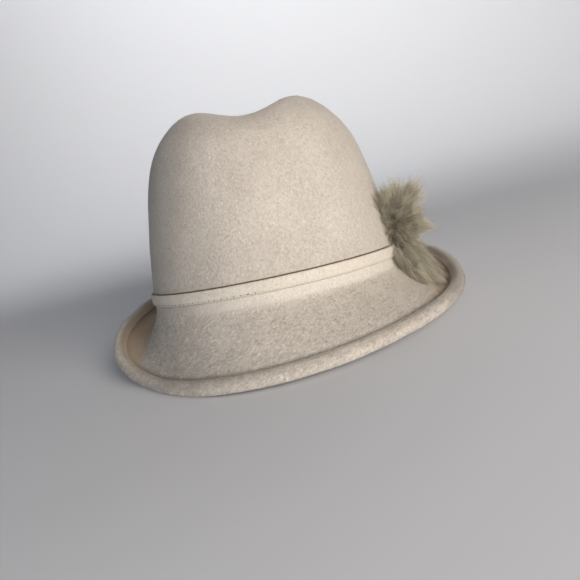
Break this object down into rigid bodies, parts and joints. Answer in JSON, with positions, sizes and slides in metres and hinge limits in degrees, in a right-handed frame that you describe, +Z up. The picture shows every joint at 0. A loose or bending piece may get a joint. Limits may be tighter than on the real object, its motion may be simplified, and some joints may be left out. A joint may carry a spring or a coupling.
{
  "type": "felt hat with fur ornament",
  "caption": "Wool-felt hat with a centre-dent crown, a brim snapped down in front and turned up at the back, a felt band and a fur tuft.",
  "frame": {"origin": "middle of the bounding box on the surface that the hat rests on", "axes": "+Z up, the brim's snapped front faces -Y, the fur tuft is on the +X side"},
  "size_m": [0.2488, 0.2852, 0.1503],
  "materials": {
    "wool_felt": "napped pale greige felt",
    "band_felt": "smooth cream felt",
    "rabbit_fur": "soft olive-grey fur"
  },
  "bodies": {
    "root": {"felt_body": "wool_felt", "hat_band": "band_felt", "fur_ornament": "rabbit_fur"}
  },
  "joints": []
}
